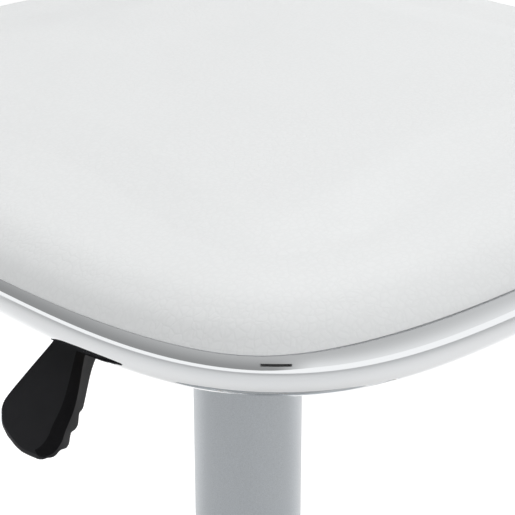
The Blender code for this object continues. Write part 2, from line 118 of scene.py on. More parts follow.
class Surface:
    """A Principled material and short ways to add nodes to it."""

    def __init__(self, name, colour, roughness, metallic=0.0, specular=0.5, coat=0.0, coat_roughness=0.1):
        self.material = bpy.data.materials.new(name)
        self.material.use_nodes = True
        self.tree = self.material.node_tree
        self.shader = self.tree.nodes["Principled BSDF"]
        values = {"Base Color": (*colour, 1.0), "Roughness": roughness, "Metallic": metallic,
                  "Specular IOR Level": specular, "Coat Weight": coat, "Coat Roughness": coat_roughness}
        for socket, value in values.items():
            self.shader.inputs[socket].default_value = value
        self.coordinates = self.add("ShaderNodeTexCoord").outputs["Object"]

    def add(self, kind, inputs=None, **settings):
        """A node of this material."""
        return add_node(self.tree, kind, inputs, **settings)

    def stretched(self, scale, rotation=(0.0, 0.0, 0.0), start=None):
        """Object coordinates scaled along each axis."""
        return self.add("ShaderNodeMapping", {"Vector": start or self.coordinates, "Scale": scale,
                                              "Rotation": rotation}).outputs[0]

    def noise(self, scale, detail=2.0, roughness=0.5, vector=None, distortion=0.0):
        """Noise value."""
        return self.add("ShaderNodeTexNoise", {"Vector": vector or self.coordinates, "Scale": scale,
                                               "Detail": detail, "Roughness": roughness,
                                               "Distortion": distortion}).outputs["Fac"]

    def ranged(self, value, low, high, to_low, to_high, smooth=False):
        """A value mapped from one range to another."""
        kind = "SMOOTHSTEP" if smooth else "LINEAR"
        return self.add("ShaderNodeMapRange", {"Value": value, "From Min": low, "From Max": high,
                                               "To Min": to_low, "To Max": to_high},
                        interpolation_type=kind).outputs[0]

    def maths(self, operation, first, second):
        """One arithmetic step."""
        return self.add("ShaderNodeMath", {0: first, 1: second}, operation=operation).outputs[0]

    def mixed(self, factor, first, second):
        """A colour between two colours."""
        node = self.add("ShaderNodeMix", data_type="RGBA")
        sockets = (node.inputs["Factor"], node.inputs[6], node.inputs[7])
        for socket, value in zip(sockets, (factor, first, second)):
            if isinstance(value, bpy.types.NodeSocket):
                self.tree.links.new(value, socket)
            else:
                socket.default_value = value if isinstance(value, float) else (*value, 1.0)
        return node.outputs[2]

    def bump(self, height, distance, strength=1.0, under=None):
        """Bump over any bump below it."""
        inputs = {"Height": height, "Distance": distance, "Strength": strength}
        if under is not None:
            inputs["Normal"] = under
        return self.add("ShaderNodeBump", inputs).outputs[0]

    def drive(self, **sockets):
        """Link outputs to the shader's sockets: colour, roughness or normal."""
        names = {"colour": "Base Color", "roughness": "Roughness", "normal": "Normal"}
        for key, output in sockets.items():
            self.tree.links.new(output, self.shader.inputs[names[key]])
        return self.material


# ---- materials
def chrome_material():
    """Polished chrome plate with a faint haze in patches."""
    s = Surface("chrome", (0.90, 0.91, 0.92), 0.05, 1.0)
    haze = s.ranged(s.noise(22.0, 4.0), 0.35, 0.75, 0.030, 0.075)
    ripple = s.bump(s.noise(60.0, 1.0), 0.00002, 0.5)
    return s.drive(roughness=haze, normal=ripple)


def silver_material():
    """Satin silver paint with a fine metal flake."""
    s = Surface("silver_paint", (0.47, 0.50, 0.53), 0.36, 0.55, coat=0.25, coat_roughness=0.28)
    flake = s.noise(2600.0, 1.0)
    tone = s.mixed(s.ranged(flake, 0.3, 0.7, 0.0, 1.0), (0.44, 0.465, 0.49), (0.53, 0.56, 0.59))
    rough = s.ranged(s.noise(14.0, 3.0), 0.3, 0.7, 0.33, 0.41)
    return s.drive(colour=tone, roughness=rough, normal=s.bump(flake, 0.00003, 0.35))


def brushed_material(name, colour, roughness):
    """Turned or ground metal: fine rings round Z with roughness streaks."""
    s = Surface(name, colour, roughness, 1.0)
    streak = s.noise(1.0, 3.0, 0.6, s.stretched((60.0, 60.0, 2400.0)))
    tone = s.mixed(streak, tuple(0.86 * c for c in colour), colour)
    rough = s.ranged(streak, 0.3, 0.7, roughness - 0.06, roughness + 0.08)
    return s.drive(colour=tone, roughness=rough, normal=s.bump(streak, 0.00002, 0.4))


def powder_coat_material():
    """Black powder coat with orange peel."""
    s = Surface("black_steel", (0.020, 0.020, 0.022), 0.42, 0.0)
    peel = s.noise(700.0, 2.0)
    rough = s.ranged(s.noise(25.0, 3.0), 0.3, 0.7, 0.36, 0.5)
    tone = s.mixed(s.noise(9.0, 2.0), (0.016, 0.016, 0.018), (0.028, 0.028, 0.030))
    return s.drive(colour=tone, roughness=rough, normal=s.bump(peel, 0.00008, 0.5))


def plastic_material():
    """Black moulded plastic with a fine spark-eroded texture; the faces of the handle's sloping band are
    painted near black, a painted shade.
    """
    s = Surface("black_plastic", (0.015, 0.015, 0.017), 0.62, 0.0, specular=0.14)
    spark = s.noise(1700.0, 3.0, 0.7)
    band_painted_shade = s.add("ShaderNodeAttribute", {}, attribute_name="band_painted_shade").outputs["Fac"]
    tone = s.mixed(s.noise(40.0, 3.0), (0.014, 0.014, 0.016), (0.021, 0.021, 0.023))
    # painted shade: the sloping band's faces are coloured near black
    tone = s.mixed(band_painted_shade, tone, (0.004, 0.004, 0.005))
    rough = s.ranged(s.noise(60.0, 2.0), 0.3, 0.7, 0.56, 0.68)
    return s.drive(colour=tone, roughness=rough, normal=s.bump(spark, 0.00006, 0.6))


def rubber_material():
    """Matt black rubber."""
    s = Surface("rubber", (0.022, 0.022, 0.022), 0.82, 0.0, specular=0.3)
    dust = s.noise(90.0, 4.0)
    tone = s.mixed(dust, (0.018, 0.018, 0.018), (0.034, 0.033, 0.032))
    return s.drive(colour=tone, normal=s.bump(s.noise(900.0, 2.0), 0.00006, 0.5))


def leather_material():
    """White leatherette: pebble grain with drawn-out creases, finer in some patches, and a soft gloss."""
    s = Surface("white_leather", (0.79, 0.797, 0.797), 0.46, 0.0, specular=0.42)
    drift = s.add("ShaderNodeTexNoise", {"Vector": s.coordinates, "Scale": 190.0, "Detail": 2.0})
    shift = s.add("ShaderNodeVectorMath", {0: drift.outputs["Color"], 1: (0.0034, 0.0034, 0.0034)},
                  operation="MULTIPLY").outputs[0]
    warped = s.add("ShaderNodeVectorMath", {0: s.coordinates, 1: shift}, operation="ADD").outputs[0]
    grain_space = s.stretched((1.0, 1.45, 1.0), (0.0, 0.0, math.radians(24.0)), warped)
    cells = s.add("ShaderNodeTexVoronoi", {"Vector": grain_space, "Scale": 330.0, "Randomness": 1.0},
                  feature="DISTANCE_TO_EDGE").outputs["Distance"]
    pebbles = s.ranged(cells, 0.0, 0.22, 0.0, 1.0, smooth=True)
    pores = s.noise(1500.0, 3.0, 0.6)
    patches = s.ranged(s.noise(16.0, 2.0), 0.35, 0.65, 0.35, 1.0, smooth=True)
    grain = s.maths("MULTIPLY", pebbles, patches)
    bumped = s.bump(grain, 0.00009, 0.45)
    bumped = s.bump(pores, 0.00003, 0.35, bumped)
    tone = s.mixed(s.ranged(pebbles, 0.0, 1.0, 0.0, 1.0), (0.778, 0.785, 0.785), (0.796, 0.803, 0.803))
    rough = s.ranged(s.noise(30.0, 4.0), 0.3, 0.7, 0.40, 0.50)
    return s.drive(colour=tone, roughness=rough, normal=bumped)


def foam_material():
    """Open-cell foam."""
    s = Surface("foam", (0.80, 0.74, 0.55), 0.95, 0.0, specular=0.2)
    cells = s.add("ShaderNodeTexVoronoi", {"Vector": s.coordinates, "Scale": 900.0}).outputs["Distance"]
    tone = s.mixed(cells, (0.62, 0.56, 0.38), (0.84, 0.79, 0.62))
    return s.drive(colour=tone, normal=s.bump(cells, 0.0003, 0.7))


def plywood_material():
    """Raw birch plywood: face grain from above and below, dark glue lines round the edge."""
    s = Surface("plywood", (0.62, 0.46, 0.29), 0.62, 0.0, specular=0.3)
    grain = s.noise(1.0, 4.0, 0.6, s.stretched((420.0, 14.0, 300.0)))
    rings = s.noise(1.0, 2.0, 0.5, s.stretched((38.0, 3.0, 1.0)), 1.6)
    figure = s.maths("ADD", s.maths("MULTIPLY", grain, 0.45), s.maths("MULTIPLY", rings, 0.55))
    tone = s.mixed(s.ranged(figure, 0.3, 0.7, 0.0, 1.0), (0.47, 0.32, 0.18), (0.68, 0.52, 0.34))
    return s.drive(colour=tone, normal=s.bump(grain, 0.00006, 0.5))


def floor_material():
    """Pale floor with painted light: a painted glow behind the stool, and painted shade that greys it far in
    front of it.
    """
    s = Surface("floor_pale", (0.93, 0.93, 0.93), 0.7, 0.0, specular=0.1)
    away = (math.sin(CAMERA_AZIMUTH), math.cos(CAMERA_AZIMUTH), 0)
    behind = s.add("ShaderNodeVectorMath", {0: s.coordinates, 1: away},
                   operation="DOT_PRODUCT").outputs["Value"]
    # painted shade: the floor's colour greys far in front of the stool
    painted_shade_falloff = s.ranged(behind, -1.3, -0.15, 0.0, 1.0, smooth=True)
    tone = s.mixed(painted_shade_falloff, (0.90, 0.905, 0.91), (0.96, 0.96, 0.96))
    s.shader.inputs["Emission Color"].default_value = (1.0, 1.0, 1.0, 1.0)
    # painted glow: the floor emits light behind the stool, though it is no lamp
    painted_glow = s.ranged(behind, 0.0, 0.55, 0.0, 0.35, smooth=True)
    s.tree.links.new(painted_glow, s.shader.inputs["Emission Strength"])
    return s.drive(colour=tone)


MATERIALS = {
    "chrome": chrome_material(),
    "silver_paint": silver_material(),
    "bright_steel": brushed_material("bright_steel", (0.62, 0.63, 0.64), 0.26),
    "zinc_plate": brushed_material("zinc_plate", (0.56, 0.57, 0.60), 0.34),
    "black_steel": powder_coat_material(),
    "black_plastic": plastic_material(),
    "rubber": rubber_material(),
    "white_leather": leather_material(),
    "foam": foam_material(),
    "plywood": plywood_material(),
}


# ---- making pieces
def finish_piece(piece, slot, nodes, body=None):
    """Material, body and CAD nodes of a piece that is in place."""
    piece.data.materials.clear()
    piece.data.materials.append(MATERIALS[slot])
    if body is None:
        body = frame["nodes"][nodes[0]]["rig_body"]
    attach(piece, body)
    if nodes:
        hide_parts(*nodes)
    return piece


def shade(mesh, sharp_degrees):
    """Smooth shading that breaks where faces meet more steeply than this."""
    mesh.shade_smooth()
    mesh.set_sharp_from_angle(angle=math.radians(sharp_degrees))


def placed(name, data):
    """A new object in the scene."""
    thing = bpy.data.objects.new(name, data)
    bpy.context.scene.collection.objects.link(thing)
    return thing


def face_outwards(mesh, merge=0.0):
    """Turn a mesh's faces outwards, after joining points closer than merge."""
    shape = bmesh.new()
    shape.from_mesh(mesh)
    if merge:
        bmesh.ops.remove_doubles(shape, verts=shape.verts, dist=merge)
    bmesh.ops.recalc_face_normals(shape, faces=shape.faces)
    shape.to_mesh(mesh)
    shape.free()


def mesh_object(name, verts, faces, sharp_degrees=40.0):
    """A smooth-shaded mesh object with sharp edges where faces meet steeply."""
    mesh = bpy.data.meshes.new(name)
    mesh.from_pydata([tuple(v) for v in verts], [], faces)
    shade(mesh, sharp_degrees)
    return placed(name, mesh)


def bridge(rows, count, closed_rows=False):
    """Quads between successive loops of count points."""
    faces = []
    for row in range(rows if closed_rows else rows - 1):
        here, there = row * count, (row + 1) % rows * count
        for i in range(count):
            j = (i + 1) % count
            faces.append((here + i, here + j, there + j, there + i))
    return faces


def soften(piece, width, segments=3, angle=35.0):
    """Bevelled edges with even shading."""
    bevel = piece.modifiers.new("edges", "BEVEL")
    bevel.width = width
    bevel.segments = segments
    bevel.limit_method = "ANGLE"
    bevel.angle_limit = math.radians(angle)
    bevel.harden_normals = True


def turned(name, profile, slot, nodes, edge=0.0004, steps=96, closed=True, matrix=None):
    """A turned piece from an (r, z) profile that runs down its outer side."""
    verts, faces = [], []
    count = len(profile)
    for i in range(steps):
        angle = math.tau * i / steps
        verts += [Vector((r * math.cos(angle), r * math.sin(angle), z)) for r, z in profile]
    for i in range(steps):
        here, there = i * count, (i + 1) % steps * count
        for k in range(count if closed else count - 1):
            m = (k + 1) % count
            faces.append((here + k, here + m, there + m, there + k))
    piece = mesh_object(name, verts, faces, 30.0)
    face_outwards(piece.data, 0.000001)
    if matrix is not None:
        piece.data.transform(matrix)
    if edge:
        soften(piece, edge)
    return finish_piece(piece, slot, nodes)


def tube(name, points, radius, slot, nodes, cyclic=False, resolution=10):
    """A smooth round tube or bar through points."""
    curve = bpy.data.curves.new(name, "CURVE")
    curve.dimensions = "3D"
    curve.bevel_depth = radius
    curve.bevel_resolution = resolution
    curve.use_fill_caps = not cyclic
    spline = curve.splines.new("POLY")
    spline.points.add(len(points) - 1)
    for target, point in zip(spline.points, points):
        target.co = (*point, 1.0)
    spline.use_cyclic_u = cyclic
    return finish_piece(placed(name, curve), slot, nodes)


def plate(name, outline, holes, low, top, slot, nodes, edge=0.0006, matrix=None):
    """A flat plate with holes and rounded edges, between two heights of its own frame."""
    curve = bpy.data.curves.new(name, "CURVE")
    curve.dimensions = "2D"
    curve.fill_mode = "BOTH"
    curve.bevel_depth = edge
    curve.bevel_resolution = 3
    curve.offset = -edge
    curve.extrude = (top - low) / 2 - edge
    for loop in [outline, *holes]:
        spline = curve.splines.new("POLY")
        spline.points.add(len(loop) - 1)
        for point, (x, y) in zip(spline.points, loop):
            point.co = (x, y, 0.0, 1.0)
        spline.use_cyclic_u = True
    drawn = placed(name + "_outline", curve)
    bpy.context.view_layer.update()
    mesh = bpy.data.meshes.new_from_object(drawn.evaluated_get(bpy.context.evaluated_depsgraph_get()))
    bpy.data.objects.remove(drawn)
    shape = bmesh.new()
    shape.from_mesh(mesh)
    bmesh.ops.remove_doubles(shape, verts=shape.verts, dist=0.00001)
    shape.to_mesh(mesh)
    shape.free()
    mesh.name = name
    mesh.transform((matrix or Matrix.Identity(4)) @ Matrix.Translation((0, 0, (low + top) / 2)))
    shade(mesh, 35.0)
    return finish_piece(placed(name, mesh), slot, nodes)


def circle(x, y, radius, count=40):
    """Points of a circle."""
    return [(x + radius * math.cos(math.tau * i / count), y + radius * math.sin(math.tau * i / count))
            for i in range(count)]


def eased(points, steps=8):
    """A smooth run of points through the given ones (Catmull-Rom)."""
    points = [Vector(p) for p in points]
    ends = [2 * points[0] - points[1], *points, 2 * points[-1] - points[-2]]
    run = []
    for before, start, end, after in zip(ends, ends[1:], ends[2:], ends[3:]):
        for i in range(steps):
            t = i / steps
            bend = (2 * before - 5 * start + 4 * end - after) * t ** 2
            twist = (3 * start - before - 3 * end + after) * t ** 3
            run.append(0.5 * ((2 * start) + (end - before) * t + bend + twist))
    run.append(points[-1])
    return run


def rectangle(x_low, y_low, x_high, y_high, radius, steps=8):
    """Points of a rectangle with round corners, anticlockwise."""
    corners = [(x_high - radius, y_high - radius, 0.0), (x_low + radius, y_high - radius, 0.25),
               (x_low + radius, y_low + radius, 0.5), (x_high - radius, y_low + radius, 0.75)]
    points = []
    for cx, cy, turn in corners:
        for i in range(steps + 1):
            angle = math.tau * (turn + 0.25 * i / steps)
            points.append((cx + radius * math.cos(angle), cy + radius * math.sin(angle)))
    return points


def socket_screw_mesh(name, head_r, head_height, shank_r, shank_length, socket_r):
    """A round-headed screw with a hexagon socket, pointing up, its head below z = 0."""
    steps = 24
    dome = [(head_r * math.cos(a), -0.35 * head_height - 0.65 * head_height * math.sin(a))
            for a in (math.radians(d) for d in range(0, 61, 12))]
    profile = [(shank_r, shank_length), (shank_r, 0.0), (head_r, 0.0), *dome]
    floor = -0.45 * head_height
    low = dome[-1][1]
    verts, faces = [], []
    loops = [[(r * math.cos(math.tau * i / steps), r * math.sin(math.tau * i / steps), z)
              for i in range(steps)] for r, z in profile]
    for z in (low, floor):
        loop = []
        for i in range(steps):
            angle = math.tau * i / steps
            flat = (angle % (math.pi / 3)) - math.pi / 6
            reach = socket_r * math.cos(math.pi / 6) / math.cos(flat)
            loop.append((reach * math.cos(angle), reach * math.sin(angle), z))
        loops.append(loop)
    for loop in loops:
        verts += loop
    faces += bridge(len(loops), steps)
    faces.append(tuple(range(steps)))
    faces.append(tuple(range(len(verts) - steps, len(verts))))
    mesh = bpy.data.meshes.new(name)
    mesh.from_pydata(verts, [], faces)
    face_outwards(mesh)
    shade(mesh, 38.0)
    return mesh


def screws(prefix, count, head_r, head_height, shank_r, socket_r):
    """Detailed copies of a group of CAD screws, each standing for its own node."""
    for i in range(1, count + 1):
        node = f"{prefix}_{i}"
        low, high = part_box(node)
        centre = (low + high) / 2
        mesh = socket_screw_mesh(f"{node}_mesh", head_r, head_height, shank_r, high.z - low.z - head_height,
                                 socket_r)
        mesh.transform(Matrix.Translation((centre.x, centre.y, low.z + head_height))
                       @ Matrix.Rotation(0.7 * i, 4, "Z"))
        finish_piece(placed(f"{node}_detail", mesh), "zinc_plate", [node])


# ---- seat outline
def ring_outline(count):
    """Evenly spaced points of the ring's centre line and their outward normals, as arrays."""
    angle = np.linspace(0.0, math.tau, 2880, endpoint=False)
    c, s = np.cos(angle), np.sin(angle)
    share = np.abs(c / RING_HALF_X) ** RING_POWER + np.abs(s / RING_HALF_Y) ** RING_POWER
    reach = share ** (-1 / RING_POWER)
    fine = np.stack([reach * c, reach * s], 1)
    along = np.concatenate([[0.0], np.cumsum(np.linalg.norm(np.diff(fine, axis=0, append=fine[:1]), axis=1))])
    wrapped = np.vstack([fine, fine[:1]])
    wanted = np.linspace(0.0, along[-1], count, endpoint=False)
    points = np.stack([np.interp(wanted, along, wrapped[:, k]) for k in (0, 1)], 1)
    tangent = np.roll(points, -1, 0) - np.roll(points, 1, 0)
    tangent /= np.linalg.norm(tangent, axis=1, keepdims=True)
    return points + (RING_CENTRE_X, 0.0), np.stack([tangent[:, 1], -tangent[:, 0]], 1)


def build_ring():
    """The polished tube ring."""
    points, _ = ring_outline(360)
    tube("seat_ring_tube", [(x, y, RING_Z) for x, y in points], RING_R, "chrome", ["seat_ring"], cyclic=True,
         resolution=14)


# ---- pad
PAD_CORE = 0.030                     # the grid of the top ends this far inside the ring's centre line
# the rounded edge: (outward from the ring's centre line, above the ring's centre), from the top inwards
PAD_EDGE = [(-0.0240, 0.0225), (-0.0180, 0.0219), (-0.0130, 0.0211), (-0.0090, 0.0201), (-0.0055, 0.0188),
            (-0.0025, 0.0172), (0.0003, 0.0153), (0.0027, 0.0132), (0.0045, 0.0111), (0.0056, 0.0091),
            (0.0060, 0.0081), (0.0054, 0.0083), (0.0030, 0.0093), (0.0000, 0.0099), (-0.0040, 0.0094),
            (-0.0080, 0.0062), (-0.0100, 0.0010), (-0.0101, -0.0050), (-0.0104, -0.0078), (-0.0120, -0.0084),
            (-0.0170, -0.0084), (-0.0245, -0.0084)]
PAD_SHIFT = (-0.0013, 0.0014)        # the pad sits this far off the ring's centre
PAD_CORNER = 0.0015                  # and swells this much at its corners
PAD_LOOPS_SHIFTED = 12               # edge loops above the ring, which follow that shift
PAD_LOOPS_RESTING = 4                # the last of them lie along the ring's tube
PAD_REACH_LIMIT = 0.0085             # and follow it out to here
PAD_LOOPS_FREE = 6                   # edge loops that the cloth may move
PAD_EVENING = 60                     # passes that even out the simulated rise
PAD_RISE_LIMITS = (-0.0003, 0.0030)
PAD_COUNT = 4 * 84                   # points round the outline


def core_grid(points):
    """A grid over the middle of the pad inside a loop; gives its points, faces, rim and the rim's start."""
    quarter = len(points) // 4
    bearing = np.arctan2(points[:, 1], points[:, 0] - RING_CENTRE_X)
    start = int(np.argmin(np.abs(bearing + math.atan2(RING_HALF_Y, RING_HALF_X))))
    rim = np.roll(points, -start, 0)
    bottom, right = rim[:quarter + 1], rim[quarter:2 * quarter + 1]
    top, left = rim[2 * quarter:3 * quarter + 1][::-1], np.vstack([rim[3 * quarter:], rim[:1]])[::-1]
    t = np.linspace(0.0, 1.0, quarter + 1)[:, None]
    verts = {}
    coordinates = []
    for i in range(quarter + 1):
        u = t[i, 0]
        for j in range(quarter + 1):
            v = t[j, 0]
            # bottom runs along the first side, left and right across it (a Coons patch)
            here = ((1 - v) * bottom[i] + v * top[i] + (1 - u) * left[j] + u * right[j]
                    - (1 - u) * (1 - v) * bottom[0] - u * (1 - v) * bottom[-1]
                    - (1 - u) * v * top[0] - u * v * top[-1])
            verts[i, j] = len(coordinates)
            coordinates.append(here)
    faces = [(verts[i, j], verts[i + 1, j], verts[i + 1, j + 1], verts[i, j + 1])
             for i in range(quarter) for j in range(quarter)]
    order = [verts[i, 0] for i in range(quarter)] + [verts[quarter, j] for j in range(quarter)]
    order += [verts[i, quarter] for i in range(quarter, 0, -1)]
    order += [verts[0, j] for j in range(quarter, 0, -1)]
    return np.array(coordinates), faces, order, start


def pad_mesh():
    """The leather skin before it is stuffed: a gridded top, a rolled edge and the fold under the board."""
    points, normals = ring_outline(PAD_COUNT)
    swell = PAD_CORNER * (2 * np.abs(normals[:, :1] * normals[:, 1:])) ** 2
    shifted = points + PAD_SHIFT + swell * normals
    core_points, core_faces, rim, start = core_grid(shifted - PAD_CORE * normals)
    top_z = RING_Z + PAD_EDGE[0][1] + 0.0003
    spread = np.linalg.norm((core_points - (RING_CENTRE_X, 0.0)) / (RING_HALF_X, RING_HALF_Y), axis=1)
    verts = [(x, y, top_z + 0.0025 * (1 - min(1.0, w) ** 2)) for (x, y), w in zip(core_points, spread)]
    faces = list(core_faces)
    points, normals, shifted = (np.roll(a, -start, 0) for a in (points, normals, shifted))
    previous = rim
    for number, (out, rise) in enumerate(PAD_EDGE):
        loop = list(range(len(verts), len(verts) + PAD_COUNT))
        base = shifted if number < PAD_LOOPS_SHIFTED else points
        rises = np.full(PAD_COUNT, rise)
        if PAD_LOOPS_SHIFTED - PAD_LOOPS_RESTING <= number < PAD_LOOPS_SHIFTED:
            # the lowest loops rest on the ring's tube, wherever the shift has put them
            reach = np.sum((base - points) * normals, 1) + out
            surface = np.sqrt(RING_R ** 2 - np.clip(reach, 0.0, PAD_REACH_LIMIT) ** 2)
            rises += surface - math.sqrt(RING_R ** 2 - out ** 2)
        verts += [(x, y, RING_Z + z) for (x, y), z in zip(base + out * normals, rises)]
        for i in range(PAD_COUNT):
            j = (i + 1) % PAD_COUNT
            faces.append((previous[j], previous[i], loop[i], loop[j]))
        previous = loop
    return verts, faces, len(core_points)


def stuff_pad(piece, free_count):
    """Cloth pressed up by the foam: its rise is kept, evened out and limited, and its creases are dropped."""
    rest = np.array([v.co for v in piece.data.vertices])
    pins = piece.vertex_groups.new(name="held")
    pins.add(list(range(free_count, len(rest))), 1.0, "REPLACE")
    cloth = piece.modifiers.new("stuffing", "CLOTH")
    leatherette = {"quality": 6, "mass": 0.4, "tension_stiffness": 18.0, "compression_stiffness": 18.0,
                   "shear_stiffness": 6.0, "bending_stiffness": 0.6, "use_pressure": True,
                   "uniform_pressure_force": 4.0, "vertex_group_mass": "held"}
    for key, value in leatherette.items():
        setattr(cloth.settings, key, value)
    cloth.settings.effector_weights.gravity = 0.0
    scene = bpy.context.scene
    for number in range(1, 21):
        scene.frame_set(number)
    bpy.context.view_layer.update()
    evaluated = piece.evaluated_get(bpy.context.evaluated_depsgraph_get())
    moved = np.array([v.co for v in evaluated.data.vertices]) - rest
    piece.modifiers.remove(cloth)
    scene.frame_set(1)
    edges = np.array([edge.vertices for edge in piece.data.edges])
    links = np.maximum(np.bincount(edges.ravel(), minlength=len(rest)), 1)[:, None]
    for _ in range(PAD_EVENING):
        around = np.zeros_like(moved)
        np.add.at(around, edges[:, 0], moved[edges[:, 1]])
        np.add.at(around, edges[:, 1], moved[edges[:, 0]])
        # half way to the mean of each point's neighbours
        moved = 0.5 * moved + 0.5 * around / links
        moved[free_count:] = 0.0
    rise = np.clip(moved[:, 2], *PAD_RISE_LIMITS)
    for vertex, place, lift in zip(piece.data.vertices, rest, rise):
        vertex.co = place + (0.0, 0.0, lift)


def build_pad():
    """The leatherette pad, simulated, then given its thickness."""
    verts, faces, core_count = pad_mesh()
    piece = mesh_object("seat_pad_leather", verts, faces, 60.0)
    stuff_pad(piece, core_count + PAD_LOOPS_FREE * PAD_COUNT)
    skin = piece.modifiers.new("thickness", "SOLIDIFY")
    skin.thickness = 0.0011
    skin.offset = -1.0
    smooth = piece.modifiers.new("fine", "SUBSURF")
    smooth.levels = smooth.render_levels = 1
    finish_piece(piece, "white_leather", ["seat_cover"])
    return piece


def build_foam():
    """Foam block under the leather, closed below by the board."""
    points, normals = ring_outline(192)
    levels = [(0.0118, 0.0056), (0.0072, 0.0106), (0.0060, 0.0112), (0.0095, 0.0135), (0.0160, 0.0158),
              (0.0260, 0.0176)]
    verts, loops = [], []
    for inset, rise in levels:
        loops.append([(x, y, RING_Z + rise) for x, y in points - inset * normals])
    for scale, rise in ((0.7, 0.0186), (0.35, 0.0192), (0.08, 0.0194)):
        middle = (1 - scale) * RING_CENTRE_X
        loops.append([(middle + scale * x, scale * y, RING_Z + rise) for x, y in points])
    for loop in loops:
        verts += loop
    faces = bridge(len(loops), 192)
    faces += [tuple(reversed(range(192))), tuple(range(len(verts) - 192, len(verts)))]
    piece = mesh_object("foam_block", verts, faces, 60.0)
    return finish_piece(piece, "foam", ["foam_pad"])


# ---- lever
def on_lever(reach, side=0.0, z=0.0):
    """A point in the lever's own directions: out along it, to its left, and up."""
    c, s = math.cos(LEVER_ANGLE), math.sin(LEVER_ANGLE)
    return Vector((reach * c - side * s, reach * s + side * c, z))


def handle_section(x, left, right):
    """One cross-section of the handle: flat top, a band sloping down to its left side, finger grips below."""
    low = -0.0072 + 0.100 * x
    if x > GRIP_START:
        low += 0.0010 * (1 - math.cos(math.tau * (x - GRIP_START) / GRIP_PITCH))
    band = min(0.0023 + 0.050 * x, 0.45 * (left + right))
    edge, under = 0.0008, 0.0014
    shoulder = HANDLE_TOP - 0.0016
    # the underside sweeps up to a thin tip
    low = min(low + 0.0060 * max(0.0, (x - TIP_START) / TIP_LENGTH) ** 2, shoulder - under - 0.0003)
    section = [(-right + edge, HANDLE_TOP), (-right, shoulder), (-right, low + under), (-right + edge, low),
               (left - edge, low), (left, low + under), (left, shoulder), (left - band, HANDLE_TOP)]
    return [(x, y, z) for y, z in section]


def build_handle():
    """The moulded handle."""
    outlines = [np.array([tuple(p.xy) for p in eased([(x, y, 0) for x, y in side])])
                for side in (HANDLE_LEFT, HANDLE_RIGHT)]
    stations = np.concatenate([np.linspace(0.0, 0.049, 64), np.linspace(0.0495, HANDLE_LENGTH, 14)])
    left, right = (np.interp(stations, side[:, 0], side[:, 1]) for side in outlines)
    loops = [handle_section(float(x), float(a), float(b)) for x, a, b in zip(stations, left, right)]
    count = len(loops[0])
    verts = [point for loop in loops for point in loop]
    faces = bridge(len(loops), count)
    faces.append(tuple(range(count)))
    faces.append(tuple(range(len(verts) - count, len(verts))))
    piece = mesh_object("lever_handle_moulded", verts, faces, 30.0)
    face_outwards(piece.data)
    # the sloping band's faces are marked for the material's painted shade
    band_painted_shade = piece.data.attributes.new("band_painted_shade", "FLOAT", "FACE")
    walls = count * (len(loops) - 1)
    band_side = count - 2
    band_painted_shade.data.foreach_set("value", [float(number < walls and number % count == band_side)
                                      for number in range(len(faces))])
    root = Matrix.Translation(on_lever(HANDLE_START, 0.0, HANDLE_START_Z))
    piece.data.transform(root @ Matrix.Rotation(LEVER_ANGLE, 4, "Z") @ Matrix.Rotation(HANDLE_SLOPE, 4, "Y"))
    soften(piece, 0.0005, 3, 24.0)
    return finish_piece(piece, "black_plastic", ["lever_handle"])


def build_lever():
    """Flat arm and bent rod."""
    arm_low, arm_high = 0.5674, 0.5764
    stand = Matrix.Rotation(LEVER_ANGLE, 4, "Z") @ Matrix.Rotation(math.pi / 2, 4, "X")
    outline = rectangle(-0.006, arm_low, 0.052, arm_high, 0.0025)
    plate("lever_arm_cut", outline, [circle(PIVOT_REACH, PIVOT_Z, 0.0028)], -0.003, 0.003, "black_steel",
          ["lever_arm"], 0.0004, stand)
    slope = math.tan(HANDLE_SLOPE)
    route = [(0.0524, 0.5720), (0.066, 0.5717), (0.090, 0.5708), (0.120, 0.5708), (0.145, 0.5704),
             (0.1540, 0.5700)]
    for reach in (HANDLE_START - 0.0018, HANDLE_START + 0.0159):
        route.append((reach, HANDLE_START_Z - slope * (reach - HANDLE_START)))
    tube("lever_rod_bent", eased([on_lever(reach, 0, z) for reach, z in route]), 0.004, "black_steel",
         ["lever_rod"])


# ---- column and base
def washer(name, node, slot, bore_r, edge=0.0003, steps=96):
    """A smooth ring over a CAD ring, its outer size and heights read from the frame."""
    low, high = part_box(node)
    outer = (high.x - low.x) / 2
    profile = [(outer, high.z), (outer, low.z), (bore_r, low.z), (bore_r, high.z)]
    return turned(name, profile, slot, [node], edge, steps)


def trumpet(radius, throat, rim):
    """Height of the base's flared surface at a radius."""
    share = (radius - throat) / (rim - throat)
    return 0.0070 + 0.014 * (1 - share ** 2) + 0.055 * math.exp(-(radius - throat) / 0.016)


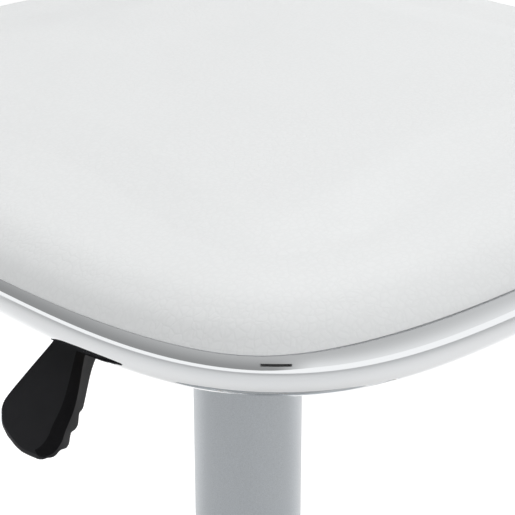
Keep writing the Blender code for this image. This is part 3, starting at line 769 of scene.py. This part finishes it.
def build_base():
    """Spun trumpet base, floor ring, ballast plate, flange and their bolts."""
    low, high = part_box("base_disc")
    wall = 0.002
    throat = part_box("column_tube")[1].x + COLUMN_FIT + wall
    rim = high.x - 0.003
    outer = []
    for share in np.linspace(0.0, 1.0, 64) ** 1.9:
        radius = throat + (rim - throat) * float(share)
        outer.append((radius, trumpet(radius, throat, rim)))
    hem = ((0.0018, 0.0065), (0.0008, 0.0058), (0.0002, 0.0048), (0.0, 0.0034))
    outer += [(high.x - inside, z) for inside, z in hem]
    inner = []
    for before, here, after in zip(outer[:-2], outer[1:-1], outer[2:]):
        size = math.dist(before, after)
        across = ((before[1] - after[1]) / size, (after[0] - before[0]) / size)
        inner.append((here[0] - wall * across[0], here[1] - wall * across[1]))
    inner = [(throat - wall, outer[0][1]), *inner, (high.x - wall, 0.0034)]
    turned("base_disc_spun", outer + inner[::-1], "silver_paint", ["base_disc"], 0.0, 192)
    washer("floor_ring_moulded", "floor_ring", "rubber", high.x - 0.014, 0.0008, 160)
    collar_low, collar_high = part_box("base_collar")
    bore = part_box("column_tube")[1].x + COLUMN_FIT
    outside = collar_high.x
    rise = collar_high.z - collar_low.z
    profile = [(bore, collar_low.z), (bore, collar_high.z), (outside - 0.0030, collar_high.z)]
    profile += [(outside - 0.0030 + 0.0030 * math.sin(a), collar_high.z - 0.0045 * (1 - math.cos(a)))
                for a in (math.radians(d) for d in range(15, 91, 15))]
    profile += [(outside, collar_high.z - 0.6 * rise), (outside, collar_low.z)]
    turned("base_collar_polished", profile, "chrome", ["base_collar"], 0.0003, 128)

    holes = [circle(*centre_of(f"flange_bolt_{i}"), BOLT_HOLE_R) for i in range(1, 5)]
    discs = (("ballast_plate_cut", "ballast_plate", 0.166, 0.020),
             ("column_flange_cut", "column_flange", 0.060, throat - wall + COLUMN_FIT))
    for name, node, radius, bore in discs:
        low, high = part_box(node)
        plate(name, circle(0, 0, radius, 144), [circle(0, 0, bore, 72), *holes], low.z, high.z, "black_steel",
              [node], 0.0006)
    screws("flange_bolt", 4, head_r=0.006, head_height=0.003, shank_r=0.003, socket_r=0.0027)
    foot = (0, 0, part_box("column_flange")[1].z)
    weld_ring("column_weld", "black_steel", "base", foot, bore - COLUMN_FIT, 0.0035, 1)


def centre_of(node):
    """Plan centre of a CAD node."""
    low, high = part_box(node)
    return (low.x + high.x) / 2, (low.y + high.y) / 2


def weld_ring(name, slot, body, location, radius, size, side, rotation=None):
    """A rippled fillet weld round a tube, on the side of a face that side points to."""
    steps, turn = 120, 6
    bite = 0.0002
    verts = []
    for i in range(steps):
        angle = math.tau * i / steps
        ripple = 1 + 0.10 * math.sin(30 * angle) + 0.05 * math.sin(7 * angle + 1)
        arc = [(size * ripple * math.cos(a) ** 1.5, size * ripple * math.sin(a) ** 1.5)
               for a in (math.radians(90 * k / turn) for k in range(turn + 1))]
        loop = [(0.0, 0.0), *arc]
        c, s = math.cos(angle), math.sin(angle)
        verts += [((radius - bite + out) * c, (radius - bite + out) * s, side * up) for out, up in loop]
    count = turn + 2
    faces = [(i * count + k, i * count + (k + 1) % count, (i + 1) % steps * count + (k + 1) % count,
              (i + 1) % steps * count + k) for i in range(steps) for k in range(count)]
    piece = mesh_object(name, verts, faces, 60.0)
    face_outwards(piece.data)
    piece.data.transform(Matrix.Translation(location) @ (rotation or Matrix.Identity(4)))
    return finish_piece(piece, slot, [], body)


def build_column():
    """Column tube, its end plate, the bush, and the parts of the gas lift that show."""
    tube_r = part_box("column_tube")[1].x
    bore = tube_r - 0.0015
    washer("column_tube_smooth", "column_tube", "silver_paint", bore, 0.0005, 144)
    washer("tube_end_plate_cut", "tube_end_plate", "black_steel", 0.0056, 0.0004)
    washer("retaining_clip_spring", "retaining_clip", "zinc_plate", 0.0054, 0.0002, 64)
    low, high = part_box("guide_bush")
    rim = high.z - 0.0060
    bush_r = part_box("pressure_cylinder")[1].x + 0.0005
    lip = high.x
    profile = [(bush_r + 0.0010, high.z)]
    profile += [(lip - 0.0040 + 0.0040 * math.sin(a), rim + 0.0020 + 0.0040 * math.cos(a))
                for a in (math.radians(d) for d in range(0, 91, 15))]
    profile += [(lip, rim), (bore - COLUMN_FIT, rim), (bore - COLUMN_FIT, low.z), (bush_r, low.z),
                (bush_r, high.z - 0.001)]
    turned("guide_bush_moulded", profile, "black_plastic", ["guide_bush"], 0.0002, 128)
    low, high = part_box("pressure_cylinder")
    radius = high.x
    taper = 0.496
    turned("pressure_cylinder_drawn", [(0.0133, high.z), (radius, taper), (radius, low.z), (0.0123, low.z),
                                       (0.0123, 0.478), (0.0040, 0.484), (0.0040, high.z)],
           "black_steel", ["pressure_cylinder"], 0.0004, 112)


def build_footrest():
    """Bent tube loop, welded to a clamp collar with two socket screws."""
    low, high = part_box("footrest_collar")
    collar_r = high.x
    mid = (low.z + high.z) / 2
    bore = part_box("column_tube")[1].x + COLUMN_FIT
    profile = [(bore, high.z), (bore, low.z), (collar_r - 0.0012, low.z), (collar_r, low.z + 0.0012),
               (collar_r, high.z - 0.0012), (collar_r - 0.0012, high.z)]
    turned("footrest_collar_polished", profile, "chrome", ["footrest_collar"], 0.0004, 128)
    low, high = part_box("footrest_loop")
    radius = (high.z - low.z) / 2
    wide, far, end = high.x - radius, -low.y - radius, collar_r + 0.0004
    corners = [(-end, 0), (-wide, 0, 0.045), (-wide, -far, 0.060), (wide, -far, 0.060), (wide, 0, 0.045),
               (end, 0)]
    tube("footrest_loop_bent", [(x, y, mid) for x, y in rounded_route(corners)], radius, "chrome",
         ["footrest_loop"], resolution=14)
    for side in (-1, 1):
        turn = Matrix.Rotation(side * math.pi / 2, 4, "Y")
        word = "right" if side > 0 else "left"
        root = (side * (collar_r - 0.0006), 0, mid)
        weld_ring(f"footrest_weld_{word}", "chrome", "base", root, radius, 0.0028, 1, turn)
    for i in (1, 2):
        node = f"footrest_screw_{i}"
        low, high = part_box(node)
        middle = (low + high) / 2
        mesh = socket_screw_mesh(f"{node}_mesh", (high.z - low.z) / 2, high.y - low.y, 0.0015, 0.0006, 0.0021)
        mesh.transform(Matrix.Translation((middle.x, low.y, middle.z)) @ Matrix.Rotation(math.pi / 2, 4, "X"))
        finish_piece(placed(f"{node}_detail", mesh), "zinc_plate", [node])


def rounded_route(corners, steps=24):
    """A flat route through (x, y, radius) corners, with arcs at the inner ones."""
    route = [corners[0][:2]]
    for before, (x, y, radius), after in zip(corners, corners[1:], corners[2:]):
        back = (before[0] - x, before[1] - y)
        ahead = (after[0] - x, after[1] - y)
        back_angle = math.atan2(back[1], back[0])
        turn = (math.atan2(ahead[1], ahead[0]) - back_angle + math.pi) % math.tau - math.pi
        reach = radius / math.tan(abs(turn) / 2)
        start = (x + reach * math.cos(back_angle), y + reach * math.sin(back_angle))
        side = math.copysign(1.0, turn)
        centre_angle = back_angle + side * math.pi / 2
        centre = (start[0] + radius * math.cos(centre_angle), start[1] + radius * math.sin(centre_angle))
        first = centre_angle + math.pi
        sweep = -side * (math.pi - abs(turn))
        for i in range(steps + 1):
            angle = first + sweep * i / steps
            route.append((centre[0] + radius * math.cos(angle), centre[1] + radius * math.sin(angle)))
    route.append(corners[-1][:2])
    return route


# ---- seat plate and what hangs from the board
def build_mechanism():
    """Pressed seat plate, taper socket, cheeks, pivot pin and the plate's bolts."""
    low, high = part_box("mount_plate")
    bolts = [centre_of(f"plate_bolt_{i}") for i in range(1, 5)]
    plate("mount_plate_pressed", rectangle(low.x, low.y, high.x, high.y, 0.012),
          [circle(x, y, BOLT_HOLE_R) for x, y in bolts], low.z, high.z, "black_steel", ["mount_plate"],
          0.0006)
    for i, side in enumerate((-1, 1), 1):
        pressed_rib(f"mount_plate_rib_{i}", 0.046, side * 0.030, low.z)
    low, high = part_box("taper_socket")
    radius = high.x
    steps = 112
    bore = 0.0138
    profile = [(radius, high.z), (radius, 0.5310), (radius - 0.0008, 0.5298), (0.0150, 0.5280),
               (bore + 0.0003, 0.5284), (bore, 0.5560), (bore, high.z)]
    turned("taper_socket_machined", profile, "black_steel", ["taper_socket"], 0.0003, steps)
    weld_ring("socket_weld", "black_steel", "seat", (0, 0, high.z), radius, 0.0036, -1)
    stand = Matrix.Rotation(LEVER_ANGLE, 4, "Z") @ Matrix.Rotation(math.pi / 2, 4, "X")
    for side, word in ((1, "left"), (-1, "right")):
        offset = Matrix.Translation(on_lever(0, side * 0.0048))
        outline = rectangle(PIVOT_REACH - 0.009, 0.5655, PIVOT_REACH + 0.009, high.z, 0.003)
        plate(f"pivot_cheek_{word}_cut", outline, [circle(PIVOT_REACH, PIVOT_Z, 0.0029)], -0.0013, 0.0013,
              "black_steel", [f"pivot_cheek_{word}"], 0.0004, offset @ stand)
    pin = Matrix.Translation(on_lever(PIVOT_REACH, 0, PIVOT_Z)) @ stand
    head = [(0.0, 0.0085), (0.0018, 0.0084), (0.0025, 0.0076)]
    profile = head + [(r, -z) for r, z in reversed(head)]
    turned("pivot_pin_headed", profile, "zinc_plate", ["pivot_pin"], 0.0, 48, False, pin)
    screws("plate_bolt", 4, head_r=0.0055, head_height=0.0045, shank_r=0.0029, socket_r=0.0028)
    screws("tab_screw", 4, head_r=0.0044, head_height=0.0022, shank_r=0.0020, socket_r=0.0017)


def pressed_rib(name, half_length, y, z):
    """A pressed bead under the seat plate: half a capsule, hanging below it."""
    radius, depth = 0.006, 0.0016
    count, rings = 48, 6
    verts = []
    for k in range(rings + 1):
        a = math.pi / 2 * k / rings
        for i in range(count):
            t = math.tau * i / count
            shift = half_length - radius if math.cos(t) > 0 else radius - half_length
            verts.append((shift + radius * math.cos(a) * math.cos(t), y + radius * math.cos(a) * math.sin(t),
                          z + 0.0002 - (depth + 0.0002) * math.sin(a)))
    faces = bridge(rings + 1, count)
    piece = mesh_object(name, verts, faces, 60.0)
    face_outwards(piece.data)
    return finish_piece(piece, "black_steel", [], "seat")


def build_tabs():
    """Chromed tabs welded to the ring and screwed to the board."""
    for i in range(1, 5):
        low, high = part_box(f"ring_tab_{i}")
        middle = (low + high) / 2
        angle = math.atan2(middle.y, middle.x - RING_CENTRE_X)
        half = RING_HALF_X if abs(middle.y) < 0.01 else RING_HALF_Y
        plate(f"ring_tab_{i}_stamped", rectangle(half - 0.034, -0.010, half - 0.0049, 0.010, 0.002),
              [circle(half - TAB_SCREW_INSET, 0, 0.0027)], low.z, high.z, "chrome", [f"ring_tab_{i}"], 0.0005,
              Matrix.Translation((RING_CENTRE_X, 0, 0)) @ Matrix.Rotation(angle, 4, "Z"))


def build_board():
    """Plywood board."""
    points, normals = ring_outline(240)
    outline = [tuple(p) for p in points - 0.0115 * normals]
    holes = [circle(*centre_of(f"plate_bolt_{i}"), 0.0047) for i in range(1, 5)]
    holes += [circle(*centre_of(f"tab_screw_{i}"), 0.0025) for i in range(1, 5)]
    plate("seat_board_plywood", outline, holes, BOARD_LOW.z, BOARD_HIGH.z, "plywood", ["seat_board"], 0.0008)


def build_staples():
    """Wire staples that hold the leather's edge under the board."""
    points, normals = ring_outline(64)
    lines = points - 0.0205 * normals
    z = BOARD_LOW.z - 0.0016
    tab_screws = [centre_of(f"tab_screw_{k}") for k in range(1, 5)]
    verts, faces = [], []
    wire, half = 0.0003, 0.0050
    for i, ((x, y), (nx, ny)) in enumerate(zip(lines, normals)):
        angle = math.atan2(nx, -ny) + math.radians(9.0 * math.sin(5.1 * i))
        along = Vector((math.cos(angle), math.sin(angle), 0))
        across = Vector((-along.y, along.x, 0))
        path = [Vector((x, y, z + 0.0012)) - half * along, Vector((x, y, z)) - half * along,
                Vector((x, y, z)) + half * along, Vector((x, y, z + 0.0012)) + half * along]
        if any(math.dist((x, y), screw) < SCREW_CLEARANCE for screw in tab_screws):
            continue
        start = len(verts)
        ups = [along, Vector((0, 0, 1)) + along, Vector((0, 0, 1)) - along, -along]
        for point, lift in zip(path, ups):
            lift = lift.normalized()
            for a in range(4):
                t = math.tau * (a + 0.5) / 4
                verts.append(point + wire * (math.cos(t) * across + math.sin(t) * lift))
        for row in range(3):
            for a in range(4):
                b = (a + 1) % 4
                here, there = start + 4 * row, start + 4 * row + 4
                faces.append((here + a, here + b, there + b, there + a))
    piece = mesh_object("cover_staples", verts, faces, 60.0)
    return finish_piece(piece, "zinc_plate", [], "seat")


# ---- studio
WORLD_LEFT = 0.30                    # the dim side of the room
WORLD_RIGHT = 0.84                   # the bright side
WORLD_TOP = 0.50
BRIGHT_SIDE = (math.cos(CAMERA_AZIMUTH), -math.sin(CAMERA_AZIMUTH), 0.0)


def build_world():
    """A plain room: dim on one side, bright on the other, white round the horizon."""
    world = bpy.data.worlds.new("studio")
    bpy.context.scene.world = world
    world.use_nodes = True
    tree = world.node_tree
    background = tree.nodes["Background"]

    def node(kind, inputs, **settings):
        return add_node(tree, kind, inputs, **settings)

    def ramp(value, low, high, to_low, to_high):
        limits = {"From Min": low, "From Max": high, "To Min": to_low, "To Max": to_high}
        return node("ShaderNodeMapRange", {"Value": value, **limits},
                    interpolation_type="SMOOTHSTEP").outputs[0]

    def between(share, first, second):
        return node("ShaderNodeMix", {"Factor": share, "A": first, "B": second}).outputs[0]

    direction = node("ShaderNodeTexCoord", {}).outputs["Generated"]
    height = node("ShaderNodeSeparateXYZ", {0: direction}).outputs[2]
    facing = node("ShaderNodeVectorMath", {0: direction, 1: BRIGHT_SIDE}, operation="DOT_PRODUCT")
    to_bright = facing.outputs["Value"]
    side = between(ramp(to_bright, -0.05, 0.36, 0.0, 1.0), WORLD_LEFT, WORLD_RIGHT)
    room = between(ramp(height, 0.15, 0.98, 0.0, 1.0), side, WORLD_TOP)
    # the white horizon ends at this height, lower on the dim side
    edge = ramp(to_bright, -0.2, 0.4, 0.105, 0.24)
    band = node("ShaderNodeMath", {0: edge, 1: height}, operation="SUBTRACT").outputs[0]
    level = between(ramp(band, -0.008, 0.008, 0.0, 1.0), room, 1.0)
    tree.links.new(level, background.inputs["Strength"])
    background.inputs["Color"].default_value = (0.985, 0.995, 1.0, 1.0)


def build_studio():
    """Pale floor, soft lights, the camera and a plain surrounding."""
    bpy.ops.mesh.primitive_plane_add(size=14.0, location=(0, 0, 0))
    floor = bpy.context.object
    floor.name = "studio_floor"
    floor.data.materials.append(floor_material())

    build_world()

    def area(name, location, target, size, energy, shines):
        light = bpy.data.lights.new(name, "AREA")
        light.shape = "RECTANGLE"
        light.size, light.size_y = size
        light.energy = energy
        lamp = placed(name, light)
        lamp.location = location
        lamp.rotation_mode = "QUATERNION"
        lamp.rotation_quaternion = (Vector(target) - Vector(location)).to_track_quat("-Z", "Y")
        lamp.visible_glossy = shines

    area("back_soft", (1.0, 1.1, 2.5), (0, 0, 0.5), (2.0, 2.0), 18.0, True)
    area("top_soft", (0.0, 0.0, 2.9), (0, 0, 0.5), (2.2, 2.2), 17.0, False)
    area("front_soft", (-1.5, -1.6, 2.3), (0, 0, 0.5), (1.8, 1.8), 8.0, False)

    looking = (math.pi / 2 - CAMERA_ELEVATION, 0.0, -CAMERA_AZIMUTH)
    # a dark card behind the camera, which only reflections see
    bpy.ops.mesh.primitive_plane_add(size=1.0)
    card = bpy.context.object
    card.name = "dark_card"
    back = Vector((-math.sin(CAMERA_AZIMUTH) * math.cos(CAMERA_ELEVATION),
                   -math.cos(CAMERA_AZIMUTH) * math.cos(CAMERA_ELEVATION), math.sin(CAMERA_ELEVATION)))
    card.scale = (0.16, 0.10, 1.0)
    card.location = CAMERA_AIM + (CAMERA_DISTANCE + 0.06) * back
    card.rotation_euler = looking
    card.visible_camera = card.visible_diffuse = card.visible_shadow = False
    card.data.materials.append(MATERIALS["rubber"])

    camera = bpy.data.cameras.new("camera")
    camera.lens = CAMERA_LENS
    camera.sensor_width = 36.0
    seen_from = placed("camera", camera)
    seen_from.location = CAMERA_AIM + CAMERA_DISTANCE * back
    seen_from.rotation_euler = looking
    bpy.context.scene.camera = seen_from
    bpy.context.scene.view_settings.view_transform = "Standard"


# ---- assembly
slots = {part["node"]: part["material_slot"] for part in frame["record"]["subparts"]}
for node, thing in frame["nodes"].items():
    thing.data.materials.clear()
    thing.data.materials.append(MATERIALS[slots[node]])

build_studio()
build_ring()
build_pad()
build_foam()
build_board()
build_staples()
build_tabs()
build_mechanism()
build_handle()
build_lever()
build_column()
build_footrest()
build_base()
